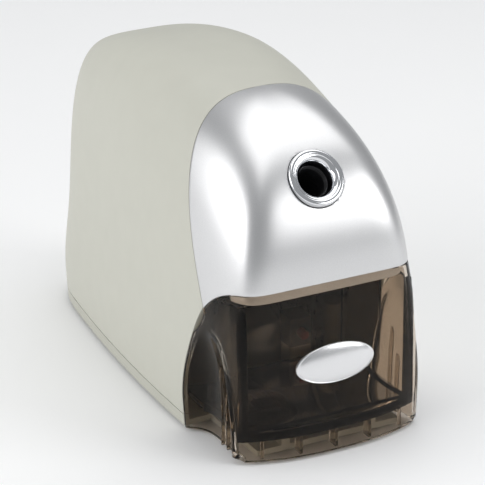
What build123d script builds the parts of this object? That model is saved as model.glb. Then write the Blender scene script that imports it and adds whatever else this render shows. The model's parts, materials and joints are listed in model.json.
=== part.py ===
"""Desktop electric pencil sharpener: arched housing, domed front plate, shavings drawer, geared cutter head.

The model is built in the lip frame: X to the right, Y towards the rear, measured from the front plate's
lower lip, Z up, measured from the drawer's lower edge. Every piece is moved once, at the end, so that the
origin lies under the middle of the whole object at table level.
"""
import os
from math import acos, asin, atan2, cos, degrees, exp, pi, radians, sin, sqrt, tan

from build123d import *

# ---- outer form -------------------------------------------------------------------------------------
HOUSING_REAR_Y = 200.0      # rear face, halfway up
HALF_WIDTH = 45.5           # housing half width, above the flared skirt
REAR_NARROWING = 15.0       # how much narrower each side is at the rear
PEAK_HEIGHT = 140.0
PEAK_Y = 104.0
CROWN_FALL = 24.0           # how far the top line falls from its peak to the rear face
REAR_LEAN = 4.0             # degrees that the rear face leans forward
REAR_PIVOT_Z = 40.0
CORNER_LENGTH = 32.0        # rear corners, in plan
CORNER_DEPTH = 18.0
RIM_RADIUS = 14.0           # rear upper rim
SKIRT_FLARE = 2.3           # the sides swell outwards near the base
SKIRT_HEIGHT = 21.0
SKIRT_SPREAD = 21.0
ARCH_SHOULDER = 5.9         # exponent of the height term of the arch
ARCH_ROUND_FRONT = 2.45     # exponent of the width term at the seam
ARCH_ROUND_REAR = 3.85      # the same from the middle to the rear
HOUSING_WALL = 2.5
SEAM_GAP = 0.35             # visible parting lines

SEAM_FOOT_Y = 24.0          # lower end of the seam between housing and front plate
SEAM_FOOT_Z = 58.0
SEAM_LEAN = 25.5            # degrees from vertical
PLATE_HEIGHT = 136.0        # top of the front plate
PLATE_WALL = 2.4
LIP_HEIGHT = 71.0           # lower lip of the front plate, and the top of the drawer
DOME_DEPTH = SEAM_FOOT_Y + (PLATE_HEIGHT - SEAM_FOOT_Z) * tan(radians(SEAM_LEAN))

# ---- drawer -----------------------------------------------------------------------------------------
DRAWER_LEAN = 8.0           # the drawer's foot stands this far in front of the lip
DRAWER_BOW = 6.0            # how far its foot is bowed, middle to corner
DRAWER_BOW_HALF = 37.0
WING_Y = 39.0               # rear edge of the drawer's wings at the foot
PARTING_POWER = 2.3         # the parting line is a quarter superellipse from the lip to the wing
DRAWER_WALL = 2.2
DRAWER_GAP = 0.5            # shadow gap between the drawer and what it closes against
DRAWER_FLOOR_Z = 8.0        # under side of the drawer's floor
DRAWER_BOX_HALF = 39.4      # inner box, outside half width
DRAWER_BOX_REAR = 57.0
DRAWER_BOX_TOP = 64.0
DRAWER_BACK_TOP = 40.0      # back wall of the box, lower than its sides
SCOOP_X = 58.5              # finger scoop: middle and half axes of an ellipsoid
SCOOP_Y = 17.0
SCOOP_Z = 4.0
SCOOP_AXES = (17.0, 19.0, 50.0)
GRIP_RIB_THICKNESS = 1.2
GRIP_RIB_OUT = 46.2
GRIP_RIBS = ((13.0, 26.0), (17.5, 36.0))   # Y and height of each grip rib
BADGE_WIDTH = 36.0
BADGE_HEIGHT = 16.5
BADGE_DOME = 1.6
BADGE_Z = 37.5

# ---- base -------------------------------------------------------------------------------------------
BASE_TOP = 6.0              # parting line between base tray and housing
BASE_BOTTOM = 0.5
BASE_FLOOR = 2.5            # thickness
BASE_WALL = 2.4
TABLE_GAP = 1.5             # the drawer's lower edge above the table
BASE_TONGUE_HALF = 33.0     # the tray reaches forward under the drawer as a tongue with two rails
BASE_TONGUE_FRONT = 1.0
RAIL_X = 20.0
RAIL_HALF = 2.0
SLIDE_GAP = 0.3             # between the drawer's floor and its rails
FOOT_RADIUS = 6.0
FOOT_PLACES = ((30.0, 50.0), (22.0, 178.0))
POST_PLACES = ((36.0, 63.5), (26.0, 162.0))
POST_RADIUS = 4.0
POST_TOP = 30.0
SCREW_RADIUS = 1.5
SCREW_HEAD_RADIUS = 3.0
SCREW_FIT = 0.05            # radial clearance of screws, pins and bushes
CORD_HOLE_RADIUS = 3.4
CORD_X = 0.0
CORD_Z = 20.0

# ---- pencil axis: everything of the head lies along it, at a depth from the ring's seat --------------
PENCIL_TILT = 40.0          # degrees that the axis rises towards the user
RING_Z = 111.4              # where the axis meets the front plate
RING_RADIUS = 12.0
RING_PROUD = 1.2
RING_DEPTH = 2.8
RING_GAP = 0.25
RING_SLEEVE = 9.7
RING_SLEEVE_END = 14.0
RING_THROAT = 6.3
GUIDE_RADIUS = 8.0
GUIDE_BORE = 4.4            # takes a pencil of 8 mm
GUIDE_BORE_START = 22.0
GUIDE_FLANGE = 13.0
HEAD_FRONT = 40.0           # front wall of the cutter housing
HEAD_WALL = 3.0
HEAD_INNER = 21.5
HEAD_OUTER = 23.5
CARRIER_RADIUS = 20.6
CARRIER_NOSE = 8.8
CARRIER_DISC = (46.5, 50.0)
CARRIER_REAR_DISC = (72.0, 76.0)
CARRIER_SHAFT = 3.6
RUNNING_GAP = 0.06          # radial clearance of turning shafts
CUTTER_OFFSET = 10.4        # cutter axis to pencil axis
CUTTER_FRONT_RADIUS = 6.2
CUTTER_REAR_RADIUS = 9.6
CUTTER_NECK = 3.3
CUTTER_PIN_RADIUS = 1.5
PRESSURE_ANGLE = 25.0
BACKLASH = 0.14
CUTTER_MODULE = 0.8
CUTTER_TEETH = 14
RING_TEETH = 40
PINION_MODULE = 0.8
PINION_TEETH = 12
WHEEL_TEETH = 38            # large wheel of the compound gear
DRIVE_MODULE = 1.0
DRIVE_TEETH = 14            # small wheel of the compound gear
CARRIER_TEETH = 40
PLATE_FACE = 84.0           # depth of the gear plate
PLATE_THICKNESS = 3.0
LOW_GEARS = (90.0, 96.0)    # depths of the slow gear pair
HIGH_GEARS = (99.0, 104.0)  # depths of the fast gear pair
MOTOR_RISE = 34.0           # motor shaft above the pencil axis
MOTOR_FRONT = 106.0         # front bracket
BRACKET_THICKNESS = 2.0
STACK = (112.0, 132.0)
STACK_HALF = 23.0
STACK_BELOW = 22.0
STACK_ABOVE = 50.0
ROTOR_RADIUS = 15.7
AIR_GAP = 0.4
SHAFT_RADIUS = 2.5
BUSH_RADIUS = 5.0
FAN = (145.0, 156.0)
FAN_RADIUS = 21.0
FRAME_HALF = 34.6           # outside half width of the motor frame
FRAME_WALL = 2.2
FRAME_FOOT = (74.0, 114.0)
MOTOR_POSTS = ((-24.0, 18.0), (-24.0, 54.0), (24.0, 54.0))
FRAME_FLANGE = 2.5          # thickness of its feet
LEVER_SLOT = (21.5, 28.0)
LEVER_PIVOT = (12.5, 33.0)  # rise and depth
LEVER_PIN_RADIUS = 1.0
SWITCH_BOTTOM = 16.4
BUTTON_TIP = 15.5           # the pressed button: the lever meets it at the end of its swing


def half_width(y):
    """Half width of the housing above its skirt, from the seam to the rear."""
    reach = HOUSING_REAR_Y - PEAK_Y / 2.6
    return HALF_WIDTH - REAR_NARROWING * ((y - PEAK_Y / 2.6) / reach) ** 2


def crown(y):
    """Height of the housing's top line."""
    return PEAK_HEIGHT - CROWN_FALL * ((y - PEAK_Y) / (HOUSING_REAR_Y - PEAK_Y)) ** 2


def skirt(z):
    return SKIRT_FLARE * exp(-(((z - SKIRT_HEIGHT) / SKIRT_SPREAD) ** 2))


def arch_round(y):
    share = min(max((y - 45.0) / 75.0, 0.0), 1.0)
    return ARCH_ROUND_FRONT + (ARCH_ROUND_REAR - ARCH_ROUND_FRONT) * share * share * (3 - 2 * share)


def turned_in(y, rear, length, depth):
    """How far a surface has turned in at y, on an elliptical corner that ends at the rear face."""
    share = min(max((y - (rear - length)) / length, 0.0), 1.0)
    return depth * (1 - sqrt(1 - share * share))


def housing_x(y, z, inset=0.0):
    """Half width of the housing at a place on its side or top."""
    rear = HOUSING_REAR_Y - inset
    top = crown(y) - inset - turned_in(y, rear, RIM_RADIUS, RIM_RADIUS)
    half = half_width(y) - inset - turned_in(y, rear, CORNER_LENGTH, CORNER_DEPTH)
    level = min(max(z / top, 0.0), 1.0)
    return half * (1 - level**ARCH_SHOULDER) ** (1 / arch_round(y)) + skirt(z) * (level < 1)


ARCH_LEVELS = (0, 0.07, 0.15, 0.24, 0.36, 0.5, 0.62, 0.73, 0.82, 0.89, 0.94, 0.975, 0.994)


def housing_section(y, inset, foot):
    """One arch of the housing, in a plane that leans more and more towards the rear face."""
    rear = HOUSING_REAR_Y - inset
    top = crown(y) - inset - turned_in(y, rear, RIM_RADIUS, RIM_RADIUS)
    lean = tan(radians(REAR_LEAN)) * max(0.0, (y - 100.0) / 100.0)
    side = []
    for level in ARCH_LEVELS:
        z = foot + (top - foot) * level
        side.append((housing_x(y, z, inset), y + (REAR_PIVOT_Z - z) * lean, z))
    left = [Vector(-x, yy, z) for x, yy, z in side]
    right = [Vector(x, yy, z) for x, yy, z in reversed(side)]
    peak = Vector(0, y + (REAR_PIVOT_Z - top) * lean, top)
    arch = Spline(*left, peak, *right)
    return make_face([arch, Line(right[-1], left[0])])


def housing_body(inset, foot, front=10.0):
    """The closed body of the housing, from in front of the seam to the rear face."""
    rear = HOUSING_REAR_Y - inset
    stations = [front, 35, 55, 75, 95, 115, 135, 155, rear - CORNER_LENGTH]
    turns = (20, 34, 46, 58, 70, 80, 90)
    stations += [rear - CORNER_LENGTH * (1 - sin(radians(a))) for a in turns]
    return loft([housing_section(y, inset, foot) for y in stations])


# ---- front surface, shared by the plate and the drawer ----------------------------------------------
def parting_y(z):
    """Rear edge of the drawer in side view, at a height below the lip."""
    level = min(max(z / LIP_HEIGHT, 0.0), 1.0)
    return WING_Y * (1 - level**PARTING_POWER) ** (1 / PARTING_POWER)


def seam_y(z):
    if z >= SEAM_FOOT_Z:
        return SEAM_FOOT_Y + (z - SEAM_FOOT_Z) * tan(radians(SEAM_LEAN))
    return SEAM_FOOT_Y + (parting_y(z) - SEAM_FOOT_Y) * min((SEAM_FOOT_Z - z) / 12.0, 1.0)


def front_centre_y(z):
    """Y of the front surface on the middle plane."""
    if z <= LIP_HEIGHT:
        return -DRAWER_LEAN * (1 - max(z, 0.0) / LIP_HEIGHT)
    level = min((z - LIP_HEIGHT) / (PLATE_HEIGHT - LIP_HEIGHT), 1.0)
    return DOME_DEPTH * (1 - sqrt(1 - level * level))


def front_point(share, z, inset=0.0):
    """A point of the front surface: share runs from -1 to 1 between the two side edges."""
    edge_y = seam_y(z)
    half = housing_x(edge_y, z, 0.0) - inset
    middle = front_centre_y(z) + inset
    below = min(max(z / LIP_HEIGHT, 0.0), 1.0)
    above = min(max((z - LIP_HEIGHT) / (PLATE_HEIGHT - LIP_HEIGHT), 0.0), 1.0)
    bow = DRAWER_BOW * (1 - below) * (half / DRAWER_BOW_HALF) ** 2.5
    power = 12.0 - 3.0 * below - 6.4 * above**0.8
    depth = edge_y - middle - bow
    y = middle + bow * abs(share) ** 2.5 + depth * abs(share) ** power
    return Vector(half * share, y, z)


SHARES = (0, 0.2, 0.4, 0.55, 0.67, 0.76, 0.83, 0.89, 0.94, 0.98, 1.02, 1.05)


def front_surface(levels, inset=0.0):
    """Spline face through the front surface at the given heights, a little wider than the housing."""
    columns = [-s for s in reversed(SHARES[1:])] + list(SHARES)
    grid = [[front_point(s, z, inset) for s in columns] for z in levels]
    return Face.make_surface_from_array_of_points(grid, tol=0.02)


def dome_levels(inset):
    """Heights for the plate: even steps along its curved profile."""
    top = (PLATE_HEIGHT - LIP_HEIGHT) * (0.985 if inset == 0 else 0.955)
    last = degrees(asin(top / (PLATE_HEIGHT - LIP_HEIGHT)))
    low = [48, 54, 60, 66]
    return low + [LIP_HEIGHT + (PLATE_HEIGHT - LIP_HEIGHT) * sin(radians(last * i / 12)) for i in range(13)]


SEAM_PLANE = Plane(
    origin=(0, SEAM_FOOT_Y, SEAM_FOOT_Z),
    x_dir=(1, 0, 0),
    z_dir=(0, -cos(radians(SEAM_LEAN)), sin(radians(SEAM_LEAN))),
)


def behind_seam(gap):
    """Everything on the rear side of the seam plane, up to gap in front of it."""
    return SEAM_PLANE * Pos(0, 0, gap) * Box(300, 500, 200, align=(Align.CENTER, Align.CENTER, Align.MAX))


def under_parting(grow, half_span=80.0):
    """Prism of what lies below and in front of the parting line, grown outwards."""
    height = LIP_HEIGHT + grow
    reach = WING_Y + grow
    steps = 14
    curve = []
    for i in range(steps + 1):
        angle = pi / 2 * i / steps
        curve.append((0, reach * sin(angle) ** (2 / PARTING_POWER), height * cos(angle) ** (2 / PARTING_POWER)))
    edge = Spline(*curve, tangents=[(0, 1, 0), (0, 0, -1)])
    rest = Polyline(curve[-1], (0, reach, -30), (0, -60, -30), (0, -60, height), curve[0])
    return extrude(make_face([edge, rest]), amount=half_span, dir=(1, 0, 0), both=True)


def slab(z_low, z_high, y_low=-100.0, y_high=300.0, half=120.0):
    return Pos(0, (y_low + y_high) / 2, (z_low + z_high) / 2) * Box(2 * half, y_high - y_low, z_high - z_low)


def dome_body(inset):
    face = front_surface(dome_levels(inset), inset)
    body = Part() + Solid.extrude(face, Vector(0, 70, 0))
    return body - behind_seam(SEAM_GAP) if inset == 0 else body


def drawer_body(inset, low, high):
    levels = [low - 2, 8, 20, 32, 44, 54, 62, 68, LIP_HEIGHT + 1.5]
    face = front_surface(levels, inset)
    body = Part() + Solid.extrude(face, Vector(0, 90, 0))
    return body & slab(low, high)


# ---- shells -----------------------------------------------------------------------------------------
REAR_FACE = Plane(
    origin=(CORD_X, HOUSING_REAR_Y + (REAR_PIVOT_Z - CORD_Z) * tan(radians(REAR_LEAN)), CORD_Z),
    x_dir=(1, 0, 0),
    z_dir=(0, cos(radians(REAR_LEAN)), sin(radians(REAR_LEAN))),
)
AXIS = Plane(
    origin=(0, front_centre_y(RING_Z), RING_Z),
    x_dir=(-1, 0, 0),
    z_dir=(0, cos(radians(PENCIL_TILT)), -sin(radians(PENCIL_TILT))),
)
SHELL_OUT = housing_body(0.0, BASE_BOTTOM)
SHELL_IN = housing_body(HOUSING_WALL, BASE_BOTTOM - 1)


def rod(radius, low, high, u=0.0, rise=0.0):
    """Cylinder along the pencil axis between two depths, off to one side or raised above it."""
    return AXIS * Pos(u, rise, low) * Cylinder(radius, high - low, align=(Align.CENTER, Align.CENTER, Align.MIN))


def block(u_low, u_high, rise_low, rise_high, low, high):
    middle = ((u_low + u_high) / 2, (rise_low + rise_high) / 2, (low + high) / 2)
    return AXIS * Pos(*middle) * Box(u_high - u_low, rise_high - rise_low, high - low)


def tube(outer, inner, low, high, u=0.0, rise=0.0):
    return rod(outer, low, high, u, rise) - rod(inner, low - 1, high + 1, u, rise)


def upright(radius, z_low, z_high, x, y):
    return Pos(x, y, z_low) * Cylinder(radius, z_high - z_low, align=(Align.CENTER, Align.CENTER, Align.MIN))


def both_sides(places):
    return [(side * x, y) for x, y in places for side in (-1, 1)]


def turned(profile, plane=AXIS):
    """Solid of revolution about a plane's normal; the profile gives radius and depth."""
    face = make_face(Polyline(*[(r, 0, d) for r, d in profile], close=True))
    return plane * revolve(face, Axis.Z)


def make_upper_housing():
    shell = SHELL_OUT - SHELL_IN
    shell = shell & slab(BASE_TOP, PEAK_HEIGHT + 10) & behind_seam(0)
    shell -= under_parting(DRAWER_GAP)
    for x, y in both_sides(POST_PLACES):
        side = 1 if x > 0 else -1
        web = Pos(x + side * 6, y, (BASE_TOP + POST_TOP) / 2) * Box(12, 2.0, POST_TOP - BASE_TOP)
        shell += upright(POST_RADIUS, BASE_TOP, POST_TOP, x, y) + (web & SHELL_OUT)
        shell -= upright(SCREW_RADIUS + SCREW_FIT, BASE_TOP - 1, POST_TOP - 4, x, y)
    shell -= REAR_FACE * Cylinder(CORD_HOLE_RADIUS + 1.6, 20)
    return shell


def make_base_tray():
    outer = SHELL_OUT & slab(BASE_BOTTOM, BASE_TOP - SEAM_GAP, WING_Y + DRAWER_GAP)
    inner = housing_body(BASE_WALL, BASE_BOTTOM - 1) & slab(BASE_BOTTOM + BASE_FLOOR, 40, WING_Y - 10)
    tray = outer - inner
    tongue_top = BASE_BOTTOM + BASE_FLOOR
    tray += slab(BASE_BOTTOM, tongue_top, BASE_TONGUE_FRONT, WING_Y + 6, BASE_TONGUE_HALF)
    rail_top = DRAWER_FLOOR_Z - SLIDE_GAP
    for side in (-1, 1):
        middle = Pos(side * RAIL_X, (BASE_TONGUE_FRONT + 62) / 2, (tongue_top + rail_top) / 2)
        tray += middle * Box(2 * RAIL_HALF, 62 - BASE_TONGUE_FRONT, rail_top - tongue_top)
    for x, y in both_sides(POST_PLACES):
        tray += upright(POST_RADIUS + 1, BASE_BOTTOM, BASE_TOP, x, y) & SHELL_OUT
        tray -= upright(SCREW_RADIUS + SCREW_FIT, BASE_BOTTOM - 1, BASE_TOP + 1, x, y)
        tray -= upright(SCREW_HEAD_RADIUS + SCREW_FIT, BASE_BOTTOM - 1, BASE_BOTTOM + 2, x, y)
    for x, y in both_sides(FOOT_PLACES):
        tray -= upright(2.5, BASE_BOTTOM - 1, tongue_top + 1, x, y)
    for i in range(7):
        tray -= Pos(0, 128 + 7 * i, BASE_BOTTOM) * Box(30, 2.5, 12)
    for x, y in FRAME_SCREWS:
        tray -= upright(SCREW_RADIUS, BASE_BOTTOM + 0.8, tongue_top + 1, x, y)
    tray += Pos(INTERLOCK_X, 66.5, (tongue_top + INTERLOCK_Z - 6) / 2) * Box(10, 9, INTERLOCK_Z - 6 - tongue_top)
    return tray


def make_front_plate():
    outer = dome_body(0)
    plate = outer - dome_body(PLATE_WALL) - under_parting(DRAWER_GAP)
    boss = rod(RING_RADIUS + RING_GAP + 2.0, -8, RING_DEPTH + 2) & outer
    plate += boss
    plate -= rod(RING_RADIUS + RING_GAP, -20, RING_DEPTH)
    plate -= rod(RING_SLEEVE + SCREW_FIT, -20, 30)
    collar = housing_body(PLATE_WALL + 0.4, 60) - housing_body(PLATE_WALL + 1.9, 50)
    joint = housing_body(1.0, 60) - housing_body(PLATE_WALL + 1.9, 50)
    collar = collar & behind_seam(3.0)
    collar -= behind_seam(-5.0)
    joint = (joint & behind_seam(3.0) & outer) - behind_seam(SEAM_GAP)
    return plate + ((collar + joint) - under_parting(6.0))


def make_nose_ring():
    return turned([
        (RING_THROAT, RING_SLEEVE_END), (RING_THROAT, 8.0), (RING_THROAT + 0.6, 5.2), (RING_THROAT + 1.7, 2.4),
        (9.4, -RING_PROUD + 0.3), (9.8, -RING_PROUD), (RING_RADIUS - 0.6, -RING_PROUD),
        (RING_RADIUS, -RING_PROUD + 0.6), (RING_RADIUS, RING_DEPTH), (RING_SLEEVE, RING_DEPTH),
        (RING_SLEEVE, RING_SLEEVE_END),
    ])


def scoops(grow):
    a, b, c = [axis + grow for axis in SCOOP_AXES]
    scoop = scale(Sphere(1.0), by=(a, b, c))
    return Pos(SCOOP_X, SCOOP_Y, SCOOP_Z) * scoop + Pos(-SCOOP_X, SCOOP_Y, SCOOP_Z) * scoop


def make_drawer():
    full = drawer_body(0, 0, LIP_HEIGHT + 5)
    closed = full & under_parting(0)
    outer = closed - scoops(0)
    inner = drawer_body(DRAWER_WALL, -1, LIP_HEIGHT + 6) - scoops(DRAWER_WALL)
    drawer = outer - inner
    floor_top = DRAWER_FLOOR_Z + DRAWER_WALL
    drawer += outer & slab(DRAWER_FLOOR_Z, floor_top)
    box = slab(DRAWER_FLOOR_Z, DRAWER_BOX_TOP, -20, DRAWER_BOX_REAR, DRAWER_BOX_HALF)
    box -= slab(floor_top, 200, -30, DRAWER_BOX_REAR - DRAWER_WALL, DRAWER_BOX_HALF - DRAWER_WALL)
    box -= slab(DRAWER_BACK_TOP, 200, DRAWER_BOX_REAR - 8, 200, DRAWER_BOX_HALF + 1)
    drawer += box & full
    for x in (-30, 0, 30):
        drawer += (Pos(x, 0, 4) * Box(1.4, 12, 8.2)) & outer & slab(0, 9, -20, -0.5)
    for side in (-1, 1):
        for y, top in GRIP_RIBS:
            rib = Pos(side * GRIP_RIB_OUT / 2, y, top / 2) * Box(GRIP_RIB_OUT, GRIP_RIB_THICKNESS, top)
            drawer += rib & (closed & scoops(0.8))
    return drawer


def make_badge():
    lean = atan2(DRAWER_LEAN, LIP_HEIGHT)
    face = Plane(origin=(0, front_centre_y(BADGE_Z), BADGE_Z), x_dir=(1, 0, 0), z_dir=(0, -cos(lean), sin(lean)))
    body = face * Pos(0, 0, -1) * extrude(Ellipse(BADGE_WIDTH / 2, BADGE_HEIGHT / 2), BADGE_DOME + 1)
    body = chamfer(body.faces().sort_by(Axis.Y)[0].edges(), 0.7)
    return body - drawer_body(-0.02, 10, 65)


def make_feet():
    feet = []
    for x, y in both_sides(FOOT_PLACES):
        foot = upright(FOOT_RADIUS, -TABLE_GAP, BASE_BOTTOM, x, y)
        foot = chamfer(foot.edges().sort_by(Axis.Z)[:1], 0.6)
        feet.append(foot + upright(2.4, BASE_BOTTOM, BASE_BOTTOM + BASE_FLOOR, x, y))
    return feet


def screw(x, y, z_head, length, head=2.0):
    """Pan head screw pointing up, its head below z_head."""
    shape = upright(SCREW_HEAD_RADIUS, z_head - head, z_head, x, y)
    shape += upright(SCREW_RADIUS, z_head, z_head + length, x, y)
    return shape - Pos(x, y, z_head - head) * Box(3.6, 0.7, 1.2) - Pos(x, y, z_head - head) * Box(0.7, 3.6, 1.2)


# ---- gears ------------------------------------------------------------------------------------------
def involute(angle):
    return tan(angle) - angle


def gear_outline(teeth, module, turn=0.0, addendum=1.0, dedendum=1.25, backlash=BACKLASH):
    """Outline of a spur gear with one tooth centred at the angle turn, in degrees."""
    pitch = module * teeth / 2
    pressure = radians(PRESSURE_ANGLE)
    base = pitch * cos(pressure)
    tip = pitch + addendum * module
    root = pitch - dedendum * module
    half_tooth = pi / (2 * teeth) - backlash / (2 * pitch)
    points = []
    start = max(base, root)
    flank = [start + (tip - start) * share for share in (0.0, 0.25, 0.6, 1.0)]
    for i in range(teeth):
        middle = 2 * pi * i / teeth + radians(turn)
        sides = []
        for radius in flank:
            angle = half_tooth + involute(pressure) - involute(acos(min(base / radius, 1.0)))
            sides.append((radius, max(angle, 0.012)))
        left = [(r, middle - a) for r, a in sides]
        right = [(r, middle + a) for r, a in reversed(sides)]
        if root < base - 0.02:
            left = [(root, left[0][1])] + left
            right = right + [(root, right[-1][1])]
        points += [(r * cos(a), r * sin(a)) for r, a in left + right]
    return make_face(Polyline(*points, close=True))


def gear(teeth, module, low, high, turn=0.0, bore=0.0, **shape):
    """Gear about the pencil axis; moved to its own axis by the caller."""
    face = gear_outline(teeth, module, turn, **shape)
    if bore:
        face -= Circle(bore)
    return Pos(0, 0, low) * extrude(face, high - low)


WHEEL_DISTANCE = PINION_MODULE * (PINION_TEETH + WHEEL_TEETH) / 2
DRIVE_DISTANCE = DRIVE_MODULE * (DRIVE_TEETH + CARRIER_TEETH) / 2
COMPOUND_RISE = (DRIVE_DISTANCE**2 - WHEEL_DISTANCE**2 + MOTOR_RISE**2) / (2 * MOTOR_RISE)
COMPOUND_U = sqrt(DRIVE_DISTANCE**2 - COMPOUND_RISE**2)
FRAME_SCREWS = [(side * (FRAME_HALF + 3.2), y) for y in (80, 108) for side in (-1, 1)]
INTERLOCK_X = 20.0
INTERLOCK_Z = 20.0


def make_motor_frame():
    frame = rod(27, PLATE_FACE, PLATE_FACE + PLATE_THICKNESS)
    frame += block(-FRAME_HALF, FRAME_HALF, -10, 62, PLATE_FACE, PLATE_FACE + PLATE_THICKNESS)
    side_outline = [(-12, PLATE_FACE), (62, PLATE_FACE), (62, PLATE_FACE + 12)]
    corners = [AXIS.from_local_coords((0, rise, depth)) for rise, depth in side_outline]
    floor = BASE_BOTTOM + BASE_FLOOR
    path = [(0, p.Y, p.Z) for p in corners] + [(0, FRAME_FOOT[1], floor), (0, FRAME_FOOT[0], floor)]
    wall = extrude(make_face(Polyline(*path, close=True)), amount=FRAME_WALL, dir=(1, 0, 0))
    for x in (-FRAME_HALF, FRAME_HALF - FRAME_WALL):
        frame += Pos(x, 0, 0) * wall
    flange = slab(floor, floor + FRAME_FLANGE, FRAME_FOOT[0], FRAME_FOOT[1], 3.8)
    for side in (-1, 1):
        frame += Pos(side * (FRAME_HALF + 2.2), 0, 0) * flange
    for x, y in FRAME_SCREWS:
        frame -= upright(SCREW_RADIUS + SCREW_FIT, floor - 1, floor + 6, x, y)
    for u, rise in MOTOR_POSTS:
        frame += rod(3.5, PLATE_FACE + PLATE_THICKNESS, MOTOR_FRONT, u, rise)
        frame -= rod(SCREW_RADIUS, MOTOR_FRONT - 9, MOTOR_FRONT + 1, u, rise)
    frame -= rod(BUSH_RADIUS + 1.5, PLATE_FACE - 1, PLATE_FACE + PLATE_THICKNESS + 1)
    frame -= rod(2.0, PLATE_FACE - 1, PLATE_FACE + PLATE_THICKNESS + 1, COMPOUND_U, COMPOUND_RISE)
    return frame


def make_cutter_housing():
    head = tube(HEAD_OUTER, HEAD_INNER, HEAD_FRONT, PLATE_FACE)
    head += tube(HEAD_OUTER, CARRIER_NOSE + RUNNING_GAP, HEAD_FRONT, HEAD_FRONT + HEAD_WALL)
    head -= block(-14, 14, -60, 0, HEAD_FRONT + HEAD_WALL + 3, 75)
    return head


def make_guide():
    guide = turned([
        (RING_THROAT, RING_SLEEVE_END + 0.1), (RING_SLEEVE, RING_SLEEVE_END + 0.1), (RING_SLEEVE, 17),
        (GUIDE_RADIUS, 18), (GUIDE_RADIUS, HEAD_FRONT - 2.4), (GUIDE_FLANGE, HEAD_FRONT - 2.4),
        (GUIDE_FLANGE, HEAD_FRONT), (GUIDE_BORE, HEAD_FRONT), (GUIDE_BORE, GUIDE_BORE_START),
    ])
    for u in (-4.2, 2.2):
        guide += block(u, u + 2.0, 5, SWITCH_BOTTOM, 29, 37) - rod(GUIDE_BORE + 1, 0, 60)
    pivot = AXIS * Pos(0, LEVER_PIVOT[0], LEVER_PIVOT[1]) * Rot(0, 90, 0) * Cylinder(LEVER_PIN_RADIUS, 30)
    guide -= pivot
    return guide - block(-1.6, 1.6, 0, 30, *LEVER_SLOT)


def make_lever():
    rise, depth = LEVER_PIVOT
    lever = block(-1.1, 1.1, rise - 1.6, rise + 1.6, 23.6, depth)
    hub = AXIS * Pos(0, rise, depth) * Rot(0, 90, 0) * Cylinder(2.2, 3.6)
    lever += hub + block(-1.1, 1.1, GUIDE_BORE - 0.9, rise, 23.6, 26.2)
    return lever - AXIS * Pos(0, rise, depth) * Rot(0, 90, 0) * Cylinder(LEVER_PIN_RADIUS + SCREW_FIT, 30)


def make_carrier():
    carrier = tube(CARRIER_NOSE, GUIDE_BORE + 0.6, HEAD_FRONT + 0.3, CARRIER_DISC[0])
    carrier += tube(CARRIER_RADIUS, GUIDE_BORE + 0.6, *CARRIER_DISC)
    carrier += rod(CARRIER_RADIUS, *CARRIER_REAR_DISC)
    core = rod(14, CARRIER_DISC[1], CARRIER_REAR_DISC[0]) & block(-30, 30, 1.2, 30, 40, 80)
    cone = AXIS * Pos(0, 0, CARRIER_DISC[1]) * Cone(
        GUIDE_BORE + 0.6, 0.8, CARRIER_REAR_DISC[0] - CARRIER_DISC[1] - 1, align=(Align.CENTER, Align.CENTER, Align.MIN)
    )
    carrier += core - cone
    carrier += rod(CARRIER_SHAFT, CARRIER_REAR_DISC[1], LOW_GEARS[1] + 1.5)
    carrier -= rod(CUTTER_PIN_RADIUS + SCREW_FIT, 46, 51, 0, -CUTTER_OFFSET)
    return carrier - rod(CUTTER_NECK + 0.3, 71, 77, 0, -CUTTER_OFFSET)


def make_cutter():
    neck_end = CARRIER_REAR_DISC[1] + 0.8
    cone = AXIS * Pos(0, -CUTTER_OFFSET, CARRIER_DISC[1] + 0.5) * Cone(
        CUTTER_FRONT_RADIUS, CUTTER_REAR_RADIUS, 21, align=(Align.CENTER, Align.CENTER, Align.MIN)
    )
    cutter = cone + rod(CUTTER_NECK, 71, neck_end, 0, -CUTTER_OFFSET)
    pinion = gear(CUTTER_TEETH, CUTTER_MODULE, neck_end, neck_end + 4.2, turn=-90.0)
    cutter += AXIS * Pos(0, -CUTTER_OFFSET, 0) * pinion
    return cutter - rod(CUTTER_PIN_RADIUS + RUNNING_GAP, 40, 90, 0, -CUTTER_OFFSET)


def make_ring_gear():
    low = CARRIER_REAR_DISC[1] + 0.6
    space = gear_outline(RING_TEETH, CUTTER_MODULE, -90.0, addendum=1.25, dedendum=0.85, backlash=-BACKLASH)
    return AXIS * Pos(0, 0, low) * extrude(Circle(HEAD_INNER - SCREW_FIT) - space, 4.8)


def make_stack():
    stack = block(-STACK_HALF, STACK_HALF, MOTOR_RISE - STACK_BELOW, MOTOR_RISE + STACK_ABOVE, *STACK)
    stack -= rod(ROTOR_RADIUS + AIR_GAP, 100, 150, 0, MOTOR_RISE)
    stack -= block(-14, 14, MOTOR_RISE + 21, MOTOR_RISE + 36, 100, 150)
    for u, rise in STACK_BOLTS:
        stack -= rod(SCREW_RADIUS + SCREW_FIT, 100, 150, u, rise)
    return stack


STACK_BOLTS = ((-14.0, MOTOR_RISE - 18), (14.0, MOTOR_RISE + 18))


def make_bracket(low, feet):
    """Motor bracket: a strap with a bush seat, and feet that reach from it to the stack."""
    high = low + BRACKET_THICKNESS
    strap = block(-STACK_HALF, STACK_HALF, MOTOR_RISE - 21, MOTOR_RISE + 20.5, low, high)
    seat = (low, high + 3) if feet[0] > low else (low - 3, high)
    strap += rod(BUSH_RADIUS + 2, *seat, 0, MOTOR_RISE)
    strap -= rod(BUSH_RADIUS, seat[0] - 1, seat[1] + 1, 0, MOTOR_RISE)
    for u, rise in STACK_BOLTS:
        strap += rod(3.6, *feet, u, rise)
        strap -= rod(SCREW_RADIUS + SCREW_FIT, seat[0] - 9, seat[1] + 9, u, rise)
    return strap


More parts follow.
